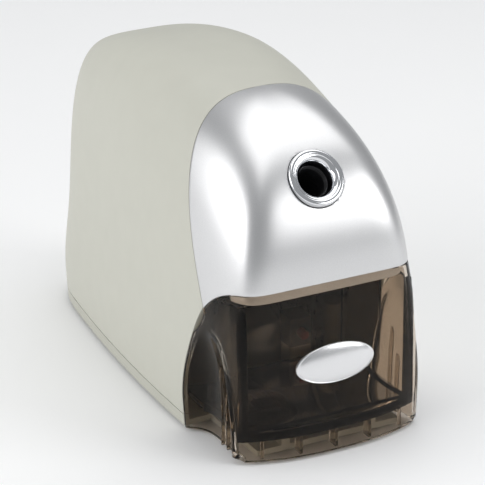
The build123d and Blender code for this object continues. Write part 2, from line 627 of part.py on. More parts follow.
def make_front_bracket():
    """The front bracket also has the ears that carry the motor on its posts."""
    high = MOTOR_FRONT + BRACKET_THICKNESS
    bracket = make_bracket(MOTOR_FRONT, (high, STACK[0]))
    for u, rise in MOTOR_POSTS:
        bracket += rod(4.6, MOTOR_FRONT, high, u, rise)
        bracket -= rod(SCREW_RADIUS + SCREW_FIT, MOTOR_FRONT - 1, high + 1, u, rise)
    return bracket


def make_compound_gear():
    towards_motor = degrees(atan2(MOTOR_RISE - COMPOUND_RISE, -COMPOUND_U))
    towards_carrier = degrees(atan2(-COMPOUND_RISE, -COMPOUND_U))
    wheel = gear(WHEEL_TEETH, PINION_MODULE, *HIGH_GEARS, turn=towards_motor)
    small = gear(DRIVE_TEETH, DRIVE_MODULE, LOW_GEARS[0], HIGH_GEARS[0], turn=towards_carrier + 180 / DRIVE_TEETH)
    seated = (Align.CENTER, Align.CENTER, Align.MIN)
    hub = Pos(0, 0, LOW_GEARS[0] - 1) * Cylinder(4.5, HIGH_GEARS[1] - LOW_GEARS[0] + 1, align=seated)
    bore = Cylinder(2.0 + RUNNING_GAP, 400)
    return AXIS * Pos(COMPOUND_U, COMPOUND_RISE, 0) * (wheel + small + hub - bore)


def make_carrier_gear():
    towards = degrees(atan2(COMPOUND_RISE, COMPOUND_U))
    wheel = gear(CARRIER_TEETH, DRIVE_MODULE, *LOW_GEARS, turn=towards, bore=CARRIER_SHAFT)
    for i in range(5):
        angle = radians(72 * i + 30)
        wheel -= Pos(11 * cos(angle), 11 * sin(angle), LOW_GEARS[0]) * Cylinder(3.4, 40)
    return AXIS * wheel + tube(6.5, CARRIER_SHAFT, LOW_GEARS[0] - 0.8, LOW_GEARS[0])


def make_motor_pinion():
    towards = degrees(atan2(COMPOUND_RISE - MOTOR_RISE, COMPOUND_U)) + 180 / PINION_TEETH
    wheel = gear(PINION_TEETH, PINION_MODULE, HIGH_GEARS[0] - 0.5, HIGH_GEARS[1] + 0.5, turn=towards, bore=SHAFT_RADIUS)
    return AXIS * Pos(0, MOTOR_RISE, 0) * wheel


def make_rotor():
    body = tube(ROTOR_RADIUS, SHAFT_RADIUS, STACK[0], STACK[1], 0, MOTOR_RISE)
    for low in (STACK[0] - 2, STACK[1]):
        body += tube(ROTOR_RADIUS - 0.6, ROTOR_RADIUS - 5, low, low + 2, 0, MOTOR_RISE)
    return body


def make_fan():
    low, high = FAN
    fan = tube(5.0, SHAFT_RADIUS, low, high, 0, MOTOR_RISE) + tube(FAN_RADIUS, 4.0, low, low + 1.5, 0, MOTOR_RISE)
    for i in range(9):
        blade = AXIS * Pos(0, MOTOR_RISE, (low + high) / 2) * Rot(0, 0, 40 * i) * Pos(12.6, 0, 0) * Rot(0, 0, 18)
        fan += blade * Box(15.5, 1.3, high - low)
    return fan


def make_bobbin():
    leg = (MOTOR_RISE + 36, MOTOR_RISE + STACK_ABOVE)
    bobbin = block(-13, 13, leg[0] - 1.5, leg[1] + 1.5, STACK[0] - 1.5, STACK[1] + 1.5)
    for u in (-13, 11.8):
        bobbin += block(u, u + 1.2, leg[0] - 14, leg[1] + 13, STACK[0] - 11, STACK[1] + 11)
    return bobbin - block(-40, 40, *leg, *STACK)


def make_winding():
    leg = (MOTOR_RISE + 36, MOTOR_RISE + STACK_ABOVE)
    coil = block(-11.8, 11.8, leg[0] - 12.5, leg[1] + 11.5, STACK[0] - 9.5, STACK[1] + 9.5)
    return coil - block(-40, 40, leg[0] - 1.5, leg[1] + 1.5, STACK[0] - 1.5, STACK[1] + 1.5)


def axial_screw(u, rise, head, end, radius=SCREW_RADIUS):
    """Pan head screw along the pencil axis, its head's seat at the depth head, pointing to end."""
    out = 1 if head > end else -1
    shank = rod(radius, min(head, end), max(head, end), u, rise)
    return shank + rod(SCREW_HEAD_RADIUS, min(head, head + 2 * out), max(head, head + 2 * out), u, rise)


def make_interlock_switch():
    body = Pos(INTERLOCK_X, 66.5, INTERLOCK_Z) * Box(10, 9, 12)
    return body - Pos(INTERLOCK_X, 62, INTERLOCK_Z) * Rot(90, 0, 0) * Cylinder(2.1, 9)


def make_interlock_plunger():
    tip = DRAWER_BOX_REAR + SLIDE_GAP
    plunger = Pos(INTERLOCK_X, (tip + 64.4) / 2, INTERLOCK_Z) * Rot(90, 0, 0) * Cylinder(2.0, 64.4 - tip)
    return chamfer(plunger.edges().sort_by(Axis.Y)[:1], 0.5)


def make_gland():
    bush = Pos(0, 0, 0.6) * Cylinder(CORD_HOLE_RADIUS + 3.6, 1.2)
    bush += Cylinder(CORD_HOLE_RADIUS + 1.55, 2 * HOUSING_WALL + 1.6)
    bush += Pos(0, 0, -HOUSING_WALL - 0.8) * Cylinder(CORD_HOLE_RADIUS + 3.2, 1.0)
    return REAR_FACE * (bush - Cylinder(CORD_HOLE_RADIUS, 40))


def build():
    pin = AXIS * Pos(0, LEVER_PIVOT[0], LEVER_PIVOT[1]) * Rot(0, 90, 0) * Cylinder(LEVER_PIN_RADIUS, 8.4)
    stack_front = MOTOR_FRONT + BRACKET_THICKNESS
    rear_bracket = STACK[1] + 6
    seat = BASE_BOTTOM + BASE_FLOOR + FRAME_FLANGE
    nodes = {
        "upper_housing": make_upper_housing(),
        "front_plate": make_front_plate(),
        "nose_ring": make_nose_ring(),
        "shavings_drawer": make_drawer(),
        "drawer_badge": make_badge(),
        "base_tray": make_base_tray(),
        "rubber_feet": make_feet(),
        "base_screws": [screw(x, y, BASE_BOTTOM + 2, 16, 1.6) for x, y in both_sides(POST_PLACES)],
        "cord_gland": make_gland(),
        "pencil_guide": make_guide(),
        "switch_lever": make_lever(),
        "lever_pin": pin,
        "pencil_switch": block(-3.1, 3.1, SWITCH_BOTTOM, SWITCH_BOTTOM + 8, 20, 38)
        - block(-1.2, 1.2, SWITCH_BOTTOM - 1, SWITCH_BOTTOM + 3, 24.4, 27.2),
        "switch_button": block(-1.0, 1.0, BUTTON_TIP, SWITCH_BOTTOM + 1.6, 24.6, 27.0),
        "cutter_housing": make_cutter_housing(),
        "ring_gear": make_ring_gear(),
        "cutter_carrier": make_carrier(),
        "cutter_pin": rod(CUTTER_PIN_RADIUS, 47, 82, 0, -CUTTER_OFFSET),
        "helical_cutter": make_cutter(),
        "carrier_bush": tube(BUSH_RADIUS + 1.5, CARRIER_SHAFT + RUNNING_GAP, PLATE_FACE, PLATE_FACE + 4.5),
        "carrier_gear": make_carrier_gear(),
        "motor_frame": make_motor_frame(),
        "frame_screws": [Pos(0, 0, seat) * Rot(0, 180, 0) * screw(-x, y, 0, 4) for x, y in FRAME_SCREWS],
        "compound_gear": make_compound_gear(),
        "gear_axle": rod(2.0, PLATE_FACE, HIGH_GEARS[1] + 1.6, COMPOUND_U, COMPOUND_RISE),
        "motor_pinion": make_motor_pinion(),
        "motor_shaft": rod(SHAFT_RADIUS, HIGH_GEARS[0] - 1, FAN[1] + 1, 0, MOTOR_RISE),
        "rotor": make_rotor(),
        "stator_stack": make_stack(),
        "coil_bobbin": make_bobbin(),
        "coil_winding": make_winding(),
        "front_bracket": make_front_bracket(),
        "rear_bracket": make_bracket(rear_bracket, (STACK[1], rear_bracket)),
        "shaft_bushes": [
            tube(BUSH_RADIUS, SHAFT_RADIUS + RUNNING_GAP, low, low + 5, 0, MOTOR_RISE)
            for low in (MOTOR_FRONT, rear_bracket - 3)
        ],
        "cooling_fan": make_fan(),
        "motor_screws": [axial_screw(u, rise, stack_front, MOTOR_FRONT - 8) for u, rise in MOTOR_POSTS],
        "stack_bolts": [axial_screw(u, rise, rear_bracket + 2, MOTOR_FRONT) for u, rise in STACK_BOLTS],
        "interlock_switch": make_interlock_switch(),
        "interlock_plunger": make_interlock_plunger(),
    }
    return nodes


def main():
    middle = (HOUSING_REAR_Y + REAR_PIVOT_Z * tan(radians(REAR_LEAN)) - DRAWER_LEAN) / 2
    place = Pos(0, -middle, TABLE_GAP)
    os.makedirs("parts", exist_ok=True)
    for name, shape in build().items():
        solids = []
        for piece in shape if isinstance(shape, list) else [shape]:
            solids += piece.solids()
        moved = [place * solid for solid in solids]
        whole = Compound(children=moved) if len(moved) > 1 else moved[0]
        export_step(whole, f"parts/{name}.step")


if __name__ == "__main__":
    main()
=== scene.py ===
"""Desktop electric pencil sharpener: arched housing, domed silver front, smoke shavings drawer."""

import json
from math import cos, pi, radians, sin, sqrt, tan

import bmesh
import bpy
import numpy as np
from mathutils import Matrix, Vector


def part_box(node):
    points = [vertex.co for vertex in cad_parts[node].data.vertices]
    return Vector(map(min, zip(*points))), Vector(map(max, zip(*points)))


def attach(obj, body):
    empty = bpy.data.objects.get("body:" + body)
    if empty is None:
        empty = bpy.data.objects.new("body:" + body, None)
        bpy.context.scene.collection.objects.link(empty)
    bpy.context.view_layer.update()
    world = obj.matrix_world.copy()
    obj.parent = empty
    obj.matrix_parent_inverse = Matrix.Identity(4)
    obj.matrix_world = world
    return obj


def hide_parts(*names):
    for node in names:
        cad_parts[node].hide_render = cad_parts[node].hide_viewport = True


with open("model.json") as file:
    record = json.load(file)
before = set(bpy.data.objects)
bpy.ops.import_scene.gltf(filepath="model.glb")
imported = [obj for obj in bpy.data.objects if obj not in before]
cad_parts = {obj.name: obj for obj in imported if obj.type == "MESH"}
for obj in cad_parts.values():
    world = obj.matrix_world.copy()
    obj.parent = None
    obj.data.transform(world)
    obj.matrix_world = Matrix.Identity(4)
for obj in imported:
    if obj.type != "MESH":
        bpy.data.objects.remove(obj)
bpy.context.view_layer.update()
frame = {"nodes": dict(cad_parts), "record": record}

# Sizes are in millimetres, Y measured back from the front plate's lower lip, Z up from the drawer's foot.
TRAY_FRONT, TRAY_UNDERSIDE = 1.0, 0.5
LIP = Vector(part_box("base_tray")[0]) * 1000 - Vector((0, TRAY_FRONT, TRAY_UNDERSIDE))
LIP.x = 0

REAR, PEAK, PEAK_Y, CROWN_FALL = 200.0, 140.0, 104.0, 24.0
HALF, NARROWING = 45.5, 15.0
HOUSING_FOOT, HOUSING_WALL = 6.0, 2.5
SEAM_Y, SEAM_Z, SEAM_SLOPE, SEAM_GAP = 24.0, 58.0, tan(radians(25.5)), 0.39
LIP_Z, PLATE_TOP, DOME_DEPTH, PLATE_WALL = 71.0, 135.14, 61.2, 2.4
WING_Y, PARTING_POWER, SHADOW_GAP = 39.0, 2.3, 0.5
DRAWER_LEAN, DRAWER_BOW, DRAWER_WALL, FLOOR_Z = 8.0, 6.0, 2.2, 8.0
SCOOP_X, SCOOP_Y, SCOOP_DEPTH = 39.2, 19.5, 9.8
SCOOP_LENGTH, SCOOP_HEIGHT = 19.5, 57.0
TUB_HALF, TUB_WALL, TUB_REAR, TUB_TOP, TUB_BACK_TOP, TUB_FLOOR = 39.4, 2.2, 57.0, 64.0, 40.0, 3.0
BADGE_Z, BADGE_LONG, BADGE_SHORT = 37.5, 18.0, 8.25
TILT = radians(40)
RING_Z, RING_RADIUS = 111.4, 12.0
REAR_LEAN, CORD_Z, CORD_HOLE = radians(4), 20.0, 5.0
POST_PLACES, POST_TOP, POST_BORE, POST_RADIUS = ((36, 63.5), (26, 162)), 30.0, 1.55, 4.0
CASE_HEAD, FOOT_HEAD, FOOT_SCREW_ROWS = 1.6, 2.0, (80, 108)
COIL_DEPTH, COIL_RISE, COIL_HALF, COIL_TURNS = 122.0, 76.5, 11.2, 29


# ---- finishes ---------------------------------------------------------------------------------------
class Finish:
    """A Principled material with helpers that add fine structure read from the piece's own coordinates."""

    def __init__(self, name, colour, roughness, metallic=0.0, **sockets):
        self.material = bpy.data.materials.new(name)
        self.material.use_nodes = True
        self.nodes = self.material.node_tree.nodes
        self.links = self.material.node_tree.links
        self.shader = self.nodes["Principled BSDF"]
        self.colour, self.roughness = colour, roughness
        self.shader.inputs["Base Color"].default_value = (*colour, 1)
        self.shader.inputs["Roughness"].default_value = roughness
        self.shader.inputs["Metallic"].default_value = metallic
        for socket, value in sockets.items():
            self.shader.inputs[socket.replace("_", " ")].default_value = value
        self.where = self.nodes.new("ShaderNodeTexCoord").outputs["Object"]
        self.height = None

    def stretched(self, stretch):
        mapping = self.nodes.new("ShaderNodeMapping")
        mapping.inputs["Scale"].default_value = stretch
        self.links.new(self.where, mapping.inputs["Vector"])
        return mapping.outputs["Vector"]

    def grain(self, size, detail=3.0, stretch=None):
        """Noise whose features are about size millimetres across."""
        noise = self.nodes.new("ShaderNodeTexNoise")
        noise.inputs["Scale"].default_value = 1000 / size
        noise.inputs["Detail"].default_value = detail
        self.links.new(self.stretched(stretch) if stretch else self.where, noise.inputs["Vector"])
        return noise.outputs["Fac"]

    def bands(self, size, stretch):
        """Stripes size millimetres apart, across the direction of stretch."""
        wave = self.nodes.new("ShaderNodeTexWave")
        wave.inputs["Scale"].default_value = 1000 / size / 20 * 2 * pi
        wave.bands_direction = "DIAGONAL"
        self.links.new(self.stretched(stretch), wave.inputs["Vector"])
        return wave.outputs["Fac"]

    def spread(self, fac, low, high):
        remap = self.nodes.new("ShaderNodeMapRange")
        remap.inputs["From Min"].default_value = 0.25
        remap.inputs["From Max"].default_value = 0.75
        remap.inputs["To Min"].default_value = low
        remap.inputs["To Max"].default_value = high
        self.links.new(fac, remap.inputs["Value"])
        return remap.outputs["Result"]

    def shade(self, fac, amount):
        """Varies the colour by plus and minus amount."""
        ramp = self.nodes.new("ShaderNodeMix")
        ramp.data_type = "RGBA"
        ramp.inputs["A"].default_value = (*[c * (1 - amount) for c in self.colour], 1)
        ramp.inputs["B"].default_value = (*[min(c * (1 + amount), 1) for c in self.colour], 1)
        self.links.new(self.spread(fac, 0, 1), ramp.inputs["Factor"])
        self.links.new(ramp.outputs["Result"], self.shader.inputs["Base Color"])
        return self

    def polish(self, fac, amount):
        """Varies the roughness by plus and minus amount."""
        low, high = max(self.roughness - amount, 0.02), self.roughness + amount
        self.links.new(self.spread(fac, low, high), self.shader.inputs["Roughness"])
        return self

    def relief(self, fac, depth, strength=1.0):
        """Bump of depth millimetres; several are stacked."""
        bump = self.nodes.new("ShaderNodeBump")
        bump.inputs["Strength"].default_value = strength
        bump.inputs["Distance"].default_value = depth / 1000
        self.links.new(fac, bump.inputs["Height"])
        if self.height:
            self.links.new(self.height, bump.inputs["Normal"])
        self.height = bump.outputs["Normal"]
        self.links.new(self.height, self.shader.inputs["Normal"])
        return self


def moulded(name, colour, roughness=0.55, texture=0.35, depth=0.02, **sockets):
    """Plastic with a spark-eroded grain and a trace of uneven colour."""
    finish = Finish(name, colour, roughness, **sockets)
    grain = finish.grain(texture, 4)
    return finish.shade(finish.grain(9.0, 2), 0.012).polish(grain, 0.06).relief(grain, depth, 0.6)


def plated(name, colour, roughness, scratch=0.5):
    """Metal with a faint rolled grain, uneven lustre and light scratches."""
    finish = Finish(name, colour, roughness, metallic=1.0)
    rolled = finish.grain(0.4, 3, stretch=(1, 1, 0.08))
    finish.shade(finish.grain(4.0, 3), 0.08).polish(finish.grain(1.5, 4), 0.07)
    return finish.relief(rolled, 0.008 * scratch, 0.5)


def turned_metal(name, colour, roughness):
    finish = Finish(name, colour, roughness, metallic=1.0)
    marks = finish.bands(0.5, stretch=(0, 0.766, -0.643))
    return finish.shade(finish.grain(3.0, 3), 0.06).polish(marks, 0.05).relief(marks, 0.006, 0.5)


def stacked_sheets(name, colour):
    finish = Finish(name, colour, 0.45, metallic=0.9)
    sheets = finish.bands(0.5, stretch=(0, 0.766, -0.643))
    return finish.shade(sheets, 0.35).polish(finish.grain(1.0), 0.1).relief(sheets, 0.05)


def satin_silver(name, colour, roughness, grain=0.22):
    """Metallic paint: tiny flakes that vary its lustre, under no visible clear coat."""
    finish = Finish(name, colour, roughness, metallic=0.92)
    flakes = finish.grain(grain, 2)
    return finish.shade(flakes, 0.07).polish(finish.grain(grain * 2, 3), 0.035).relief(flakes, 0.004, 0.5)


def smoke(name, tint, roughness):
    finish = Finish(name, tint, roughness, Transmission_Weight=1.0, IOR=1.22)
    flow = finish.grain(14.0, 2)
    return finish.shade(flow, 0.04).polish(finish.grain(5.0), 0.02).relief(flow, 0.02, 0.3)


FINISHES = {
    "housing_plastic": moulded("housing_plastic", (0.555, 0.552, 0.485), 0.5, 0.45, 0.018),
    "plate_silver": satin_silver("plate_silver", (0.69, 0.69, 0.695), 0.36),
    "ring_chrome": Finish("ring_chrome", (0.80, 0.81, 0.83), 0.07, metallic=1.0),
    "drawer_smoke": smoke("drawer_smoke", (0.69, 0.615, 0.535), 0.04),
    "badge_silver": satin_silver("badge_silver", (0.80, 0.80, 0.81), 0.24, 0.15),
    "base_plastic": moulded("base_plastic", (0.52, 0.515, 0.45)),
    "foot_rubber": moulded("foot_rubber", (0.02, 0.02, 0.021), 0.8, 0.25, 0.03),
    "black_rubber": moulded("black_rubber", (0.018, 0.018, 0.019), 0.7, 0.3, 0.02),
    "black_plastic": moulded("black_plastic", (0.02, 0.02, 0.022), 0.42, 0.3, 0.015),
    "red_plastic": moulded("red_plastic", (0.42, 0.02, 0.015), 0.35, 0.3, 0.01),
    "white_nylon": moulded("white_nylon", (0.78, 0.76, 0.69), 0.4, 0.5, 0.01, Subsurface_Weight=0.15),
    "bobbin_plastic": moulded("bobbin_plastic", (0.68, 0.64, 0.5), 0.45, 0.5, 0.01),
    "zinc_steel": plated("zinc_steel", (0.62, 0.64, 0.66), 0.3),
    "plain_steel": turned_metal("plain_steel", (0.56, 0.56, 0.57), 0.24),
    "cutter_steel": plated("cutter_steel", (0.36, 0.36, 0.38), 0.3),
    "sintered_steel": moulded("sintered_steel", (0.2, 0.2, 0.21), 0.5, 0.3, 0.02, Metallic=1.0),
    "cast_zinc": moulded("cast_zinc", (0.45, 0.45, 0.46), 0.42, 0.6, 0.02, Metallic=1.0),
    "rotor_iron": stacked_sheets("rotor_iron", (0.34, 0.34, 0.35)),
    "stator_iron": stacked_sheets("stator_iron", (0.2, 0.2, 0.22)),
    "bush_brass": turned_metal("bush_brass", (0.66, 0.45, 0.18), 0.26),
    "winding_copper": plated("winding_copper", (0.6, 0.22, 0.09), 0.25),
}
chrome = FINISHES["ring_chrome"]
chrome.polish(chrome.grain(2.0, 4), 0.02).shade(chrome.grain(6.0), 0.02)
chrome.relief(chrome.grain(0.6), 0.002, 0.2)
# Near-black copy of the drawer's smoke plastic: painted shade for the tub's front edges, which look dark
# end-on through the tint.
PAINTED_SHADE_SMOKE = smoke("drawer_smoke_painted_shade_edges", (0.02, 0.016, 0.014), 0.2)


# ---- mesh helpers -----------------------------------------------------------------------------------
def add_piece(name, points, faces, slot, material=None):
    """New piece from points in millimetres, with doubles merged and faces turned outwards."""
    mesh = bpy.data.meshes.new(name)
    mesh.from_pydata([tuple((Vector(p) + LIP) / 1000) for p in points], [], faces)
    tidy = bmesh.new()
    tidy.from_mesh(mesh)
    bmesh.ops.remove_doubles(tidy, verts=tidy.verts, dist=2e-6)
    bmesh.ops.dissolve_degenerate(tidy, edges=tidy.edges, dist=1e-7)
    bmesh.ops.recalc_face_normals(tidy, faces=tidy.faces)
    for face in tidy.faces:
        face.smooth = True
    tidy.to_mesh(mesh)
    tidy.free()
    mesh.materials.append((material or FINISHES[slot]).material)
    piece = bpy.data.objects.new(name, mesh)
    bpy.context.collection.objects.link(piece)
    return piece


def grid(rows, closed=False):
    """Points and faces of a grid; closed joins each row's end to its start."""
    count = len(rows[0])
    points = [p for row in rows for p in row]
    faces = []
    for i in range(len(rows) - 1):
        for j in range(count if closed else count - 1):
            k = (j + 1) % count
            faces.append((i * count + j, i * count + k, (i + 1) * count + k, (i + 1) * count + j))
    return points, faces


def joined(*parts):
    """One list of points and one of faces from several grids."""
    points, faces = [], []
    for part_points, part_faces in parts:
        faces += [tuple(i + len(points) for i in face) for face in part_faces]
        points += part_points
    return points, faces


def turn_outwards(piece, middle):
    """Turns an open shell inside out if its faces look towards the middle."""
    inner = (Vector(middle) + LIP) / 1000
    mesh = piece.data
    looks = sum((face.center - inner).dot(face.normal) * face.area for face in mesh.polygons)
    if looks < 0:
        mesh.flip_normals()
    return piece


def finished(piece, wall=0.0, round_edge=0.0, cutters=(), angle=40):
    """Gives a shell its wall, cuts holes and rounds sharp edges, and leaves a plain mesh."""
    if wall:
        shell = piece.modifiers.new("wall", "SOLIDIFY")
        shell.thickness = wall / 1000
        shell.offset = -1
        shell.use_even_offset = True
        shell.use_quality_normals = True
    for cutter in cutters:
        cut = piece.modifiers.new("cut", "BOOLEAN")
        cut.object = cutter
        cut.solver = "EXACT"
    if round_edge:
        bevel = piece.modifiers.new("edge", "BEVEL")
        bevel.width = round_edge / 1000
        bevel.segments = 2
        bevel.limit_method = "ANGLE"
        bevel.angle_limit = radians(angle)
        bevel.use_clamp_overlap = True
    graph = bpy.context.evaluated_depsgraph_get()
    mesh = bpy.data.meshes.new_from_object(piece.evaluated_get(graph), depsgraph=graph)
    piece.modifiers.clear()
    piece.data = mesh
    mesh.shade_smooth()
    mesh.set_sharp_from_angle(angle=radians(38))
    for cutter in cutters:
        bpy.data.objects.remove(cutter)
    return piece


def seat(piece, body, slot, *nodes):
    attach(piece, body)
    if nodes:
        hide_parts(*nodes)
    return piece


def lathe(profile, base, axis, count=96):
    """Surface of revolution: the profile gives radius and distance along the axis from base."""
    axis = Vector(axis).normalized()
    side = axis.orthogonal().normalized()
    up = axis.cross(side)
    turns = [2 * pi * i / count for i in range(count)]
    rows = []
    for radius, depth in profile:
        rows.append([Vector(base) + axis * depth + (side * cos(a) + up * sin(a)) * radius for a in turns])
    return grid(rows, closed=True)


def box_grid(low, high):
    x, y, z = zip(low, high)
    points = [(x[i & 1], y[i >> 1 & 1], z[i >> 2]) for i in range(8)]
    faces = [(0, 2, 3, 1), (4, 5, 7, 6), (0, 1, 5, 4), (2, 6, 7, 3), (0, 4, 6, 2), (1, 3, 7, 5)]
    return points, faces


# ---- the object's outer form ------------------------------------------------------------------------
def turned_in(y, length, depth):
    share = np.clip((y - (REAR - length)) / length, 0, 1)
    return depth * (1 - np.sqrt(1 - share * share))


def top_line(y):
    return PEAK - CROWN_FALL * ((y - PEAK_Y) / (REAR - PEAK_Y)) ** 2 - turned_in(y, 14.0, 14.0)


def side_x(y, z):
    """Half width of the housing at height z."""
    share = np.clip((y - 45.0) / 75.0, 0, 1)
    roundness = 2.45 + 1.4 * share * share * (3 - 2 * share)
    half = HALF - NARROWING * ((y - 40.0) / 160.0) ** 2 - turned_in(y, 32.0, 18.0)
    level = np.clip(z / top_line(y), 0, 1)
    return half * (1 - level**5.9) ** (1 / roundness) + 2.3 * np.exp(-(((z - 21) / 21) ** 2)) * (level < 1)


def arch(y, shares):
    """Points up the right half of the housing at y, at shares of its length from foot to peak."""
    climb = 1 - (1 - np.linspace(0, 1, 1500)) ** 3.5
    z = HOUSING_FOOT + (top_line(y) - HOUSING_FOOT) * climb
    x = side_x(y, z)
    along = np.concatenate([[0], np.cumsum(np.hypot(np.diff(x), np.diff(z)))])
    along /= along[-1]
    x, z = np.interp(shares, along, x), np.interp(shares, along, z)
    lean = tan(REAR_LEAN) * max(0.0, (y - 100) / 100)
    return [(a, y + (40 - b) * lean, b) for a, b in zip(x, z)]


def parting_y(z, gap):
    """Rear edge of the drawer's side, with a gap for what closes against it."""
    level = min(max(z / (LIP_Z + gap), 0.0), 1.0)
    return (WING_Y + gap) * (1 - level**PARTING_POWER) ** (1 / PARTING_POWER)


def parting_z(y, gap):
    level = min(max(y / (WING_Y + gap), 0.0), 1.0)
    return (LIP_Z + gap) * (1 - level**PARTING_POWER) ** (1 / PARTING_POWER)


def seam_edge_y(z):
    """Where the front surface ends at its sides: the seam above, the parting line below."""
    if z >= SEAM_Z:
        return SEAM_Y + (z - SEAM_Z) * SEAM_SLOPE
    return SEAM_Y + (parting_y(z, 0) - SEAM_Y) * min((SEAM_Z - z) / 12, 1.0)


def front_point(share, z, inset=0.0, gap=0.0):
    """A point of the front surface; share runs from -1 to 1 between its side edges."""
    edge_y = seam_edge_y(z)
    half = float(side_x(edge_y, z)) - inset
    below = min(max(z / LIP_Z, 0.0), 1.0)
    above = min(max((z - LIP_Z) / (PLATE_TOP - LIP_Z), 0.0), 1.0)
    if z <= LIP_Z:
        middle = -DRAWER_LEAN * (1 - below) + inset
    else:
        middle = DOME_DEPTH * (1 - sqrt(1 - above * above)) + inset
    bow = DRAWER_BOW * (1 - below) * (max(half, 0) / 37.0) ** 2.5
    power = 12.0 + 26.0 * (1 - below) - 8.0 * above**1.2
    depth = max(edge_y - gap - middle - bow, 0.0)
    return Vector((half * share, middle + bow * abs(share) ** 2.5 + depth * abs(share) ** power, z))


def root(low, high, height_over):
    """Value between low and high where height_over changes sign, by halving."""
    for _ in range(26):
        middle = (low + high) / 2
        low, high = (low, middle) if height_over(middle) > 0 else (middle, high)
    return (low + high) / 2


def even_shares(z, count, crowd=1.0):
    """Shares that are evenly spaced along the front surface's outline at height z."""
    fine = [1 - (1 - i / 1500) ** 2 for i in range(1501)]
    outline = [front_point(s, z) for s in fine]
    along = np.concatenate([[0], np.cumsum([(b - a).length for a, b in zip(outline, outline[1:])])])
    wanted = along[-1] * (np.linspace(0, 1, count) ** crowd)
    half = [float(s) for s in np.interp(wanted, along, fine)]
    return [-s for s in reversed(half[1:])] + half


def make_upper_housing():
    shares = np.linspace(0, 1, 84)
    starts = []
    for share in shares:
        def past_edge(y):
            z = arch(y, [share])[0][2]
            edge = SEAM_Y + (z - SEAM_Z) * SEAM_SLOPE
            return y - (max(edge, parting_y(z, SHADOW_GAP)) if z < LIP_Z + SHADOW_GAP else edge)
        starts.append(root(10, 75, past_edge))
    corner = [REAR - 32 + 32 * sin(radians(a)) for a in np.linspace(0, 90, 19)]
    body = list(np.linspace(95, REAR - 32, 18))[:-1] + corner
    columns = []
    for step in range(26):
        row = []
        for share, start in zip(shares, starts):
            row.append(arch(start + (95 - start) * step / 26, [share])[0])
        columns.append(row)
    columns += [arch(y, shares) for y in body]
    rows = []
    for column in columns:
        rows.append(column + [(-x, y, z) for x, y, z in reversed(column[:-1])])
    last = columns[-1]
    rear = [[(x * (1 - j / 5), y, z) for j in range(11)] for x, y, z in last]
    points, faces = joined(grid(rows), grid(rear))
    housing = turn_outwards(add_piece("housing_shell", points, faces, "housing_plastic"), (0, 110, 50))
    out = (0, cos(REAR_LEAN), sin(REAR_LEAN))
    hole = closed_rod(CORD_HOLE, (0, REAR - 10, CORD_Z - 0.7), out, 20)
    cord_hole = add_piece("cord_hole", *hole, "housing_plastic")
    housing = finished(housing, HOUSING_WALL, 0.35, [cord_hole])
    posts = []
    tube = [(POST_BORE, HOUSING_FOOT), (POST_RADIUS, HOUSING_FOOT)]
    tube += [(POST_RADIUS, POST_TOP), (POST_BORE, POST_TOP)]
    for place, y in POST_PLACES:
        for side in (1, -1):
            posts.append(lathe(tube + tube[:1], (side * place, y, 0), (0, 0, 1), 32))
            near, far = sorted((side * (place + POST_RADIUS - 0.3), side * (float(side_x(y, 18)) - 1.5)))
            posts.append(box_grid((near, y - 1, HOUSING_FOOT), (far, y + 1, POST_TOP)))
    bosses = add_piece("housing_posts", *joined(*posts), "housing_plastic")
    finished(bosses, angle=30)
    merge_into(housing, bosses)
    return seat(housing, "body", "housing_plastic", "upper_housing")


def closed_rod(radius, base, axis, length, count=64):
    return lathe([(0, 0), (radius, 0), (radius, length), (0, length)], base, axis, count)


def merge_into(piece, *others):
    """Adds other meshes to a piece's own and removes their objects."""
    whole = bmesh.new()
    for mesh in [piece.data] + [other.data for other in others]:
        whole.from_mesh(mesh)
    whole.to_mesh(piece.data)
    whole.free()
    for other in others:
        bpy.data.objects.remove(other)
    return piece


PENCIL_AXIS = Vector((0, cos(TILT), -sin(TILT)))
NOSE_HEIGHT, NOSE_DEPTH = 65.0, 61.204
RING_LEVEL = (RING_Z - LIP_Z) / NOSE_HEIGHT
RING_SEAT = Vector((0, NOSE_DEPTH * (1 - sqrt(1 - RING_LEVEL**2)), RING_Z))


def make_front_plate():
    shares = even_shares(100, 62)
    columns = []
    for share in shares:
        low = root(48, LIP_Z + SHADOW_GAP, lambda z: z - parting_z(front_point(share, z).y, SHADOW_GAP))
        start = (low - LIP_Z) / (PLATE_TOP - LIP_Z)
        column = []
        for step in range(71):
            climb = start + (1 - start) * sin(pi / 2 * step / 70)
            column.append(front_point(share, LIP_Z + (PLATE_TOP - LIP_Z) * min(climb, 1.0), gap=SEAM_GAP))
        columns.append(column)
    plate = turn_outwards(add_piece("front_dome", *grid(columns), "plate_silver"), (0, 60, 90))
    rod = closed_rod(RING_RADIUS + 0.3, RING_SEAT - PENCIL_AXIS * 12, PENCIL_AXIS, 30, 128)
    hole = add_piece("ring_hole", *rod, "plate_silver")
    plate = finished(plate, PLATE_WALL, 0.3, [hole])
    flange_shares = [s * 0.93 for s in even_shares(68, 40)]
    flange = [[front_point(s, z, inset=3.4) for s in flange_shares] for z in (66.2, 68, 70, LIP_Z + 2.2)]
    skirt = turn_outwards(add_piece("dome_skirt", *grid(flange), "plate_silver"), (0, 60, 69))
    finished(skirt, 1.6, 0.2)
    merge_into(plate, skirt)
    return seat(plate, "body", "plate_silver", "front_plate")


